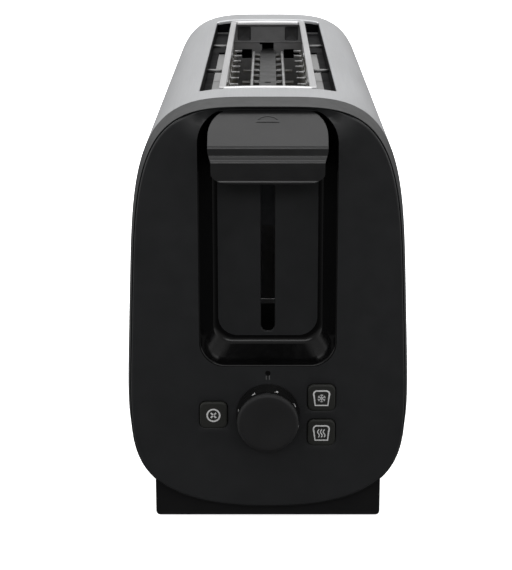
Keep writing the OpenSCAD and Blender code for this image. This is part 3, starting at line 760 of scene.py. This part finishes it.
def make_control_panel():
    """Panel with the lever's recess, whose glossy walls are a piece of their own."""
    shape = Shape()

    def rounding(x, z):
        """Radius of the panel's edge in millimetres, smallest above the lever."""
        return 0.32 + 0.5 * (1.0 if z < MID_Z else smooth((abs(x) - 24 * MM) / (16 * MM)))

    def edge_ring(share, back):
        ring = outline(lambda x, z: taper(z) + LIP_W + PANEL_GAP + share * rounding(x, z) * MM, 0)
        return [Vector((p.x, depth(back * rounding(p.x, p.z)) + min(roll_back(p.x, p.z), 2.2 * MM), p.z))
                for p in ring]

    edge = [outline(lambda x, z: taper(z) + LIP_W + PANEL_GAP, depth(3.0))]
    for i in range(6):
        a = math.radians(90 * i / 5)
        edge.append(edge_ring(1 - math.cos(a), 1 - math.sin(a)))
    edge.append(edge_ring(1.25, 0))
    edge_made = shape.loft(edge)

    def recess_ring(share, d):
        """share 0 is the rim and 1 the floor's outline."""
        x = RECESS_X + (FLOOR_X - RECESS_X) * share
        top = RECESS_TOP - 0.4 * MM * share
        ring = rounded_ring(-x, x, RECESS_LOW + FLOOR_RISE * share, top, (12 - 2.5 * share) * MM,
                            (15 - 4 * share) * MM, 0)
        return [Vector((p.x, depth(d) + min(roll_back(p.x, p.z), 3 * MM) * max(0.0, 1 - d / 6), p.z))
                for p in ring]

    rim_made = shape.loft([recess_ring(-0.06, 0), recess_ring(-0.05, 0.2), recess_ring(-0.1, 1.2)])

    walls = Shape()
    wall = [recess_ring(-0.085, 0), recess_ring(-0.083, -0.03)]
    for i in range(6):
        a = math.radians(80 * i / 5)
        wall.append(recess_ring(-0.075 + 0.09 * math.sin(a), 0.95 * (1 - math.cos(a)) - 0.03))
    wall += [recess_ring(0.25, 3.9), recess_ring(0.5, 6.9)]
    for i in range(11):
        t = i / 10
        share = (1 - t) ** 2 * 0.728 + 2 * t * (1 - t) * 0.844 + t ** 2 * 1.115
        wall.append(recess_ring(share, (1 - t) ** 2 * 9.6 + (1 - (1 - t) ** 2) * RECESS_D))
    back = [recess_ring(1.135, RECESS_D + 0.5), recess_ring(0.76, 11.2), recess_ring(0.3, 9.2),
            recess_ring(0.06, 5.8), recess_ring(-0.03, 1.6)]
    wall_made = walls.loft(wall + back)
    walls.bridge(wall_made[-1], wall_made[0])
    walls.finish("recess_walls", "panel_black", "chassis", (), 40, RECESS_GLOSS)

    floor_rings = shape.loft([recess_ring(1.1, RECESS_D + 0.6), recess_ring(1.1, RECESS_D)])

    slot_made = shape.loft([
        rounded_ring(-STEM_HALF - grow, STEM_HALF + grow, STEM_LOW - grow, STEM_HIGH + grow, r, r, depth(d))
        for grow, r, d in ((0.3 * MM, 3.5 * MM, RECESS_D), (0, 3.25 * MM, RECESS_D + 0.3),
                           (0, 3.25 * MM, RECESS_D + 2))])
    shape.flat_fill([floor_rings[-1], slot_made[0]], lambda x, z: Vector((x, depth(RECESS_D), z)), 6 * MM)

    holes = []
    for node in BUTTONS:
        holes.append(shape.loft([
            square_ring(*button_middle(node), BUTTON_HALF + grow * MM, r * MM, depth(d))
            for grow, r, d in ((0.35, 3.6, 0), (0.1, 3.4, 0.1), (0, 3.3, 0.35), (0, 3.3, 3.0))]))
    holes.append(shape.loft([circle_ring(0, KNOB_Z, r * MM, depth(d), 64) for r, d in
                             ((5.3, 0), (5.0, 0.1), (4.8, 0.4), (4.8, 3.0))]))
    shape.flat_fill([edge_made[-1], rim_made[0]] + [h[0] for h in holes],
                    lambda x, z: Vector((x, depth(0) + min(roll_back(x, z), 3 * MM), z)), 3.2 * MM)

    tub = []                # the recess as seen from inside the body
    for share, d in ((-0.3, 3.0), (-0.3, 7.5), (0.1, 11.0), (0.7, RECESS_D + 2)):
        x = RECESS_X + (FLOOR_X - RECESS_X) * share
        tub.append(rounded_ring(-x, x, RECESS_LOW + FLOOR_RISE * share, RECESS_TOP + (0.3 - 0.6 * share) * MM,
                                11 * MM, 12 * MM, depth(d)))
    tub_made = shape.loft(tub)
    shape.flat_fill([tub_made[-1], slot_made[-1]], lambda x, z: Vector((x, depth(RECESS_D + 2), z)))
    lining = [shape.ring(recess_ring(share, d)) for share, d in
              ((0.78, RECESS_D + 1.1), (0.28, 10.3), (-0.08, 7.0))]
    for a, b in zip([floor_rings[0]] + lining, lining + [rim_made[-1]]):
        shape.bridge(a, b)
    shape.flat_fill([edge_made[0], tub_made[0]] + [h[-1] for h in holes],
                    lambda x, z: Vector((x, depth(3.0), z)))
    shape.finish("control_panel", "panel_black", "chassis", ["front_fascia"], 40)


# ---- knob and its numbers ----
def make_knob():
    """Dished cap with a soft front edge over a slightly flared, polished skirt."""
    cap = Shape()
    profile = [(3.0, 11.0), (14.3, 11.0), (14.62, 12.0), (14.5, 12.75), (14.25, 13.3), (13.85, 13.7),
               (13.35, 13.93), (12.8, 14.0), (11.0, 13.96), (7.0, 13.86), (3.0, 13.82)]
    made = cap.loft([circle_ring(0, KNOB_Z, r * MM, depth(-d), 128) for r, d in profile])
    cap.cap(made[-1])
    cap.cap(made[0])
    cap.finish("knob_cap", "knob_black", "knob_body", ["browning_knob"], 40)
    skirt = Shape()
    profile = [(13.4, 11.9), (13.4, 0.5), (15.0, 0.5), (15.25, 0.62), (15.3, 0.9), (15.28, 1.6), (15.05, 5.0),
               (14.8, 9.0), (14.64, 11.75), (14.58, 11.9)]
    made = skirt.loft([circle_ring(0, KNOB_Z, r * MM, depth(-d), 128) for r, d in profile])
    skirt.bridge(made[-1], made[0])
    skirt.finish("knob_skirt", "knob_black", "knob_body", (), 40, SKIRT_GLOSS)


def text_mesh(name, body_text, size):
    """Flat outline mesh of a generic numeral, centred on the origin."""
    curve = bpy.data.curves.new(name, "FONT")
    curve.body = body_text
    curve.size = size
    curve.align_x = "CENTER"
    curve.align_y = "CENTER"
    curve.extrude = 0.04 * MM
    curve.resolution_u = 6
    holder = bpy.data.objects.new(name, curve)
    bpy.context.scene.collection.objects.link(holder)
    bpy.context.view_layer.update()
    mesh = bpy.data.meshes.new_from_object(holder.evaluated_get(bpy.context.evaluated_depsgraph_get()))
    bpy.data.objects.remove(holder)
    return mesh


def make_knob_numbers():
    """Numbers around the knob's skirt, upright when seen from the front."""
    radius = 14.83 * MM
    along = depth(-8.6)
    size = 4.6 * MM
    first, step = -70.5, 43.3           # degrees from the top
    joined = bmesh.new()
    for i in range(7):
        turn = math.radians(first + step * i)
        mesh = text_mesh("numeral", str(i + 1), size)
        for v in mesh.vertices:
            out = radius + v.co.z
            angle = turn + v.co.x / radius
            v.co = Vector((out * math.sin(angle), along + v.co.y, KNOB_Z + out * math.cos(angle)))
        joined.from_mesh(mesh)
        bpy.data.meshes.remove(mesh)
    mesh = bpy.data.meshes.new("knob_numbers")
    joined.to_mesh(mesh)
    joined.free()
    place("knob_numbers", mesh, "knob_black", "knob_body", (), 30, PRINT)


def make_index_mark():
    """Small dark dot with a short light stem on the panel above the knob."""
    dot = Shape()
    z = KNOB_Z + 20.6 * MM
    made = dot.loft([circle_ring(0, z, r * MM, depth(-d), 40) for r, d in
                     ((1.25, -0.02), (1.25, 0.06), (1.12, 0.1), (0.9, 0.06))])
    dot.cap(made[-1])
    dot.cap(made[0])
    dot.finish("index_dot", "panel_black", "chassis", (), 40, SKIRT_GLOSS)
    stem = Shape()
    for x in (-0.75, 0.75):
        line = [(x * MM, z - 1.3 * MM), (x * MM, z - 3.3 * MM)]
        ribbon(stem, line, 0.3 * MM, depth(0.01), False, 0.05 * MM)
    stem.finish("index_stem", "panel_black", "chassis", (), 40, FAINT_PRINT)


# ---- buttons ----
def make_button(node, body):
    """Slightly dished square cap with a flange and a stem behind the panel."""
    x, z = button_middle(node)
    shape = Shape()

    profile = ((7.7, 3.0, 4.6), (7.7, 3.0, 3.4), (6.6, 3.0, 3.4), (6.6, 3.0, -0.55), (6.55, 2.95, -0.8),
               (6.4, 2.85, -1.0), (6.15, 2.7, -1.14), (5.9, 2.6, -1.2), (5.4, 2.4, -1.2), (3.5, 1.6, -1.13),
               (1.5, 0.8, -1.1))
    made = shape.loft([square_ring(x, z, half * MM, r * MM, depth(d), 9, 4) for half, r, d in profile])
    shape.cap(made[-1])
    stem = shape.loft([circle_ring(x, z, 2 * MM, depth(d), 48) for d in (4.6, 10.8, 11)])
    shape.cap(stem[-1])
    shape.flat_fill([made[0], stem[0]], lambda px, pz: Vector((px, depth(4.6), pz)))
    shape.finish(node + "_cap", "button_black", body, [node], 40)


def ribbon(shape, points, width, y, closed=False, thickness=0.07 * MM):
    """Printed line of even width along (x, z) points, standing just proud of y."""
    count = len(points)
    sections = []
    for i, p in enumerate(points):
        a = points[(i - 1) % count] if closed or i else p
        b = points[(i + 1) % count] if closed or i < count - 1 else p
        way = Vector((b[0] - a[0], b[1] - a[1])).normalized()
        side = Vector((-way.y, way.x)) * width / 2
        left = (p[0] + side.x, p[1] + side.y)
        right = (p[0] - side.x, p[1] - side.y)
        sections.append([Vector((edge[0], y - out, edge[1])) for edge, out in
                         ((left, 0), (right, 0), (right, thickness), (left, thickness))])
    made = shape.loft(sections)
    if closed:
        shape.bridge(made[-1], made[0])
    else:
        shape.face(made[0])
        shape.face(made[-1])


def slice_outline(x, z, half):
    """Bread slice: straight sides, square foot and a domed, slightly overhanging crown."""
    shoulder, shoulder_z, r = 0.55 * half, z + 0.5 * half, 0.42 * half
    points = [(x - 0.78 * half, z - 0.95 * half), (x + 0.78 * half, z - 0.95 * half)]
    points += arc(x + shoulder, shoulder_z, r, -25, 90, 18)
    points += arc(x - shoulder, shoulder_z, r, 90, 205, 18)
    return points


def make_icon(node, body):
    x, z = button_middle(node)
    y = depth(-1.11)
    shape = Shape()
    if node == "stop_button":
        width, reach = 0.75 * MM, 1.25 * MM
        ribbon(shape, arc(x, z, 3.0 * MM, 0, 360, 48)[:-1], width, y, True)
        for way in (-reach, reach):
            ribbon(shape, [(x - reach, z - way), (x + reach, z + way)], width, y)
    else:
        ribbon(shape, slice_outline(x, z, 3.9 * MM), 0.72 * MM, y, True)
        if node == "defrost_button":
            heart = Vector((x, z - 0.15 * MM))
            for k in range(6):
                a = math.radians(60 * k + 30)
                ray = Vector((math.cos(a), math.sin(a)))
                if k < 3:
                    ribbon(shape, [heart - ray * 1.9 * MM, heart + ray * 1.9 * MM], 0.42 * MM, y)
                tip = heart + ray * 1.25 * MM
                for turn in (-50, 50):
                    b = a + math.radians(turn)
                    ribbon(shape, [tip, tip + Vector((math.cos(b), math.sin(b))) * 0.75 * MM], 0.34 * MM, y)
        else:
            for k in (-1, 0, 1):
                wave = [(x + k * 1.35 * MM + 0.42 * MM * math.sin(t / 12 * 2 * math.pi * 1.1),
                         z - 2.2 * MM + 4.0 * MM * t / 12) for t in range(13)]
                ribbon(shape, wave, 0.5 * MM, y)
    shape.finish(node + "_icon", "button_black", body, (), 30, PRINT)


# ---- lever ----
def lever_front_ring(x1, low, high, y):
    """Front outline: wide body with large upper corners over a narrower lip with a bowed foot."""
    lip = x1 - 1.5 * MM
    foot_across, foot_upright, shoulder = 11 * MM, 4.6 * MM, 10 * MM
    right = arc(lip - foot_across, low + foot_upright, foot_across, -90, 0, 8, foot_upright)
    right += [(lip + (x1 - lip) * smooth(i / 8), low + (9 + 6 * i / 8) * MM) for i in range(1, 9)]
    right += arc(x1 - shoulder, high - shoulder, shoulder, 0, 90, 16)
    left = [(-x, z) for x, z in reversed(right)]
    return [Vector((x, y, z)) for x, z in right + left]


LEVER_TOP = (2.75, 202.35)          # rear edge of the sloping top: millimetres of depth and of height
LEVER_BROW = (-14.82, 188.86)       # its front edge
MARK_AT = (-1.6, 199.03)            # middle of the mark on the slope


def make_lever():
    """Block cut from a front outline, a side profile and a bowed plan, with soft edges."""
    low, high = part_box("lever_handle")
    x1 = high.x
    front = solid_from_ring(lever_front_ring(x1, low.z, high.z, depth(-19)), Vector((0, 30 * MM, 0)))
    profile = [(2.75, 198.8), LEVER_TOP]
    profile += arc(-13.5, 187.1, 2.2, 127, 178, 8)
    profile += [(-15.72, 184.9)]
    profile += arc(-16.55, 184.35, 0.85, 0, -58, 5)
    profile += arc(-16.05, 181.1, 1.65, 120, 176, 6)
    profile += [(-17.6, 177.0), (-17.1, 173.3)]
    profile += arc(-15.6, 173.0, 1.5, 186, 268, 6)
    profile += [(4, 171.5), (7.9, 176), (7.9, 198.8)]
    side_ring = [Vector((-30 * MM, depth(d), z * MM)) for d, z in profile]
    side = solid_from_ring(side_ring, Vector((60 * MM, 0, 0)))
    piece = combine(front, side, "INTERSECT", "lever")
    piece = combine(piece, lever_plan_solid(x1), "INTERSECT", "lever")
    for v in piece.data.vertices:
        share = smooth((depth(-2) - v.co.y) / (13 * MM))
        v.co.y += share * 3.0 * MM * (v.co.x / x1) ** 2
    dress(piece, "lever_black", "lever_carriage", ["lever_handle"])
    soften(piece, 0.55 * MM, 4, 28)


def lever_plan_solid(x1):
    """Plan outline with rounded rear corners, so the lever clears the recess walls."""
    r, front_d, rear_d = 11, -19, 8
    half = x1 / MM
    plan = [(-half, front_d), (half, front_d)]
    plan += arc(half - r, rear_d - r, r, 0, 90, 10)
    plan += arc(r - half, rear_d - r, r, 90, 180, 10)
    ring = [Vector((x * MM, depth(d), 165 * MM)) for x, d in plan]
    return solid_from_ring(ring, Vector((0, 0, 45 * MM)))


def make_lever_mark():
    """Generic raised mark on the lever's sloping top: a low arc over a line."""
    shape = Shape()
    slope = math.atan2(LEVER_TOP[1] - LEVER_BROW[1], LEVER_TOP[0] - LEVER_BROW[0])
    origin = Vector((0, depth(MARK_AT[0]), MARK_AT[1] * MM))
    back = Vector((0, math.cos(slope), math.sin(slope)))
    up = Vector((0, -math.sin(slope), math.cos(slope)))
    arc_line = arc(0, -0.9 * MM, 4.6 * MM, 20, 160, 14, 2.9 * MM)
    base_line = [(-5.2 * MM, -1.3 * MM), (5.2 * MM, -1.3 * MM)]
    for line in (arc_line, base_line):
        ribbon(shape, line, 0.45 * MM, 0, False, 0.09 * MM)
    for v in shape.bm.verts:
        v.co = origin + Vector((v.co.x, 0, 0)) + back * v.co.z + up * (-v.co.y)
    shape.finish("lever_mark", "lever_black", "lever_carriage", (), 40)


def scratch_solid(rings):
    """Closed solid through rings of points, to combine with others."""
    shape = Shape()
    made = shape.loft(rings)
    shape.face(made[0])
    shape.face(made[-1])
    solid = bpy.data.objects.new("scratch_solid", shape.mesh("scratch_solid"))
    bpy.context.scene.collection.objects.link(solid)
    return solid


def solid_from_ring(points, sweep):
    return scratch_solid([points, [p + sweep for p in points]])


def combine(base, tool, operation, name):
    """Boolean of two scratch solids; the result replaces the first and the second goes."""
    cut = base.modifiers.new("cut", "BOOLEAN")
    cut.operation = operation
    cut.object = tool
    cut.solver = "EXACT"
    bpy.context.view_layer.update()
    mesh = bpy.data.meshes.new_from_object(base.evaluated_get(bpy.context.evaluated_depsgraph_get()))
    base.modifiers.clear()
    base.data = mesh
    base.name = name
    mesh.name = name
    bpy.data.objects.remove(tool)
    return base


# ---- rear cover ----
def make_rear_cover():
    """Hollow cap with ten vents, a round opening for the cord gland and a gap for the tray."""
    wall = 2.2 * MM
    base = body_slab(1.6, WRAP_REAR_Y, REAR_Y, 3.2 * MM)
    hollow = body_slab(4.2, WRAP_REAR_Y - 12 * MM, REAR_Y - wall, 0)
    piece = combine(base, hollow, "DIFFERENCE", "rear_cover")
    tray_x, tray_z = 42.5 * MM, 24 * MM
    tray_gap = [Vector((x, depth(360), z)) for x, z in
                ((-tray_x, -0.01), (tray_x, -0.01), (tray_x, tray_z), (-tray_x, tray_z))]
    piece = combine(piece, solid_from_ring(tray_gap, Vector((0, 40 * MM, 0))), "DIFFERENCE", "rear_cover")
    y = REAR_Y - 6 * MM
    vent_rows = [(120 + 6 * i) * MM for i in range(10)]
    openings = [rounded_ring(-25 * MM, 25 * MM, z - 1.2 * MM, z + 1.2 * MM, 1.1 * MM, 1.1 * MM, y, 5, 1)
                for z in vent_rows]
    openings.append(circle_ring(-40 * MM, 44 * MM, 7.05 * MM, y, 48))
    for opening in openings:
        piece = combine(piece, solid_from_ring(opening, Vector((0, 10 * MM, 0))), "DIFFERENCE", "rear_cover")
    dress(piece, "frame_black", "chassis", ["rear_cap"])
    soften(piece, 0.35 * MM, 3, 40)


def body_slab(inset_mm, y0, y1, rounding):
    """Closed slab of the body's outline whose rear edge is rounded."""
    inset = inset_mm * MM
    rings = [outline(inset, y0)]
    if rounding:
        for i in range(9):
            a = math.radians(90 * i / 8)
            rings.append(outline(inset + rounding * (1 - math.cos(a)), y1 - rounding * (1 - math.sin(a))))
    else:
        rings.append(outline(inset, y1))
    return scratch_solid(rings)


# ---- bun rack bars ----
PIN_R = 0.8 * MM
EAR_T = 1.1 * MM


def make_rack_frame():
    """Two long flat bars joined by bowed end bars, as one closed strip."""
    low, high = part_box("rack_frame")
    half_w = (high.x - low.x) / 2
    bar = 3.4 * MM
    top = high.z
    bottom = top - 2.4 * MM

    def crown_lift(x):
        return 0.5 * MM * (1 - (x / half_w) ** 2)

    def strip_ring(inset, lift_share, z):
        return plan_ring(half_w - inset, low.y + inset, high.y - inset, max(3.2 * MM - inset * 0.6, 0.3 * MM),
                         lambda x: z + lift_share * crown_lift(x), 8, 24)

    shape = Shape()
    edge = 0.3 * MM
    nip = 0.09 * MM
    section = [(0.0, bottom + edge), (0.0, top - edge), (nip, top - nip), (edge, top), (bar - edge, top),
               (bar - nip, top - nip), (bar, top - edge), (bar, bottom + edge), (bar - edge, bottom),
               (edge, bottom)]
    rings = [strip_ring(inset, 1.0 if z > bottom + edge else 0.0, z) for inset, z in section]
    made = shape.loft(rings)
    shape.bridge(made[-1], made[0])
    shape.finish("rack_bars", "rack_chrome", "rack_body", ["rack_frame"], 25)


def make_rack_ears():
    """Small ears under the bars that hold the leg pins."""
    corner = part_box("rack_frame")[1]
    pins_low, pins_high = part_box("rack_ear_pins")
    pin_z = (pins_low.z + pins_high.z) / 2
    foot_z = corner.z - 2.2 * MM
    shape = Shape()
    for pin_y in (pins_low.y + PIN_R, pins_high.y - PIN_R):
        for side in (-1, 1):
            ring = [(pin_y - 3 * MM, foot_z), (pin_y + 3 * MM, foot_z)]
            ring += arc(pin_y, pin_z, 1.7 * MM, 0, -180, 12)
            made = shape.loft([[Vector((side * x, y, z)) for y, z in ring]
                               for x in (corner.x, corner.x - EAR_T)])
            shape.face(made[0])
            shape.face(made[-1])
    shape.finish("rack_ears", "rack_chrome", "rack_body", (), 40)


# ---- painted shade in the windows of the rear plate ----
def make_plate_windows_painted_shade():
    """Dark panels set in the two pockets of the rear plate, a painted shade for the dark of the windows there.
    """
    shape = Shape()
    for x in (-15.5, 15.5):
        made = shape.loft([
            rounded_ring((x - w) * MM, (x + w) * MM, (193 + t) * MM, (201.8 - t) * MM, 0.8 * MM, 0.8 * MM,
                         depth(340 + d), 6, 3)
            for w, t, d in ((4.3, 0, 0.45), (4.3, 0, 0.2), (4.1, 0.2, 0.1), (3.6, 0.7, 0.3))])
        shape.cap(made[0])
        shape.cap(made[-1])
    # The panels' dark colour is painted shade.
    shape.finish("plate_windows_painted_shade", "chamber_sheet", "chassis", (), 30, WINDOW_PAINTED_SHADE)


# ---- CAD nodes that stay ----
# Width of the softened edges, in millimetres.
SOFT_EDGES = {"base_housing": 0.9, "slot_liner": 0.25, "lift_frame": 0.2, "lift_bracket": 0.25,
              "crumb_tray": 0.3, "browning_pot": 0.4, "terminal_block": 0.5, "contact_block": 0.4,
              "button_switches": 0.3, "control_board": 0.15, "magnet_yoke": 0.4, "magnet_coil": 1.2,
              "armature_plate": 0.3, "lever_stem": 0.25, "carriage_rail": 0.2, "rubber_feet": 0.4,
              "cord_gland": 0.3, "chamber_rear_plate": 0.12, "chamber_front_plate": 0.12,
              "left_reflector": 0.15, "right_reflector": 0.15, "front_rack_legs": 0.2,
              "rear_rack_legs": 0.2, "base_screws": 0.15, "fascia_screws": 0.15, "chassis_screws": 0.15}
# The carriage rail and lift frame get the darker plated steel, which is painted shade.
OWN_FINISH = {"carriage_rail": SHADED_CARRIAGE_STEEL, "lift_frame": SHADED_CARRIAGE_STEEL, "rack_anchor_pins": PIN_STEEL}


def finish_cad_nodes():
    """Material and soft edges for every CAD node that no piece replaces."""
    slots = {s["node"]: s["material_slot"] for s in frame["record"]["subparts"]}
    for name, node in NODES.items():
        if name in REPLACED:
            continue
        node.data.materials.clear()
        node.data.materials.append(OWN_FINISH.get(name, MATERIALS[slots[name]]))
        weld = node.modifiers.new("weld", "WELD")
        weld.merge_threshold = 1e-6
        flat = node.modifiers.new("flat_faces", "DECIMATE")
        flat.decimate_type = "DISSOLVE"
        flat.angle_limit = math.radians(0.6)
        if name in SOFT_EDGES:
            soften(node, SOFT_EDGES[name] * MM, 2, 35)
        else:
            even_normals(node)


make_steel_wrap()
make_front_frame()
make_control_panel()
make_knob()
make_knob_numbers()
make_index_mark()
for button, button_body in BUTTONS.items():
    make_button(button, button_body)
    make_icon(button, button_body)
make_lever()
make_lever_mark()
make_rear_cover()
make_rack_frame()
make_rack_ears()
make_plate_windows_painted_shade()
finish_cad_nodes()
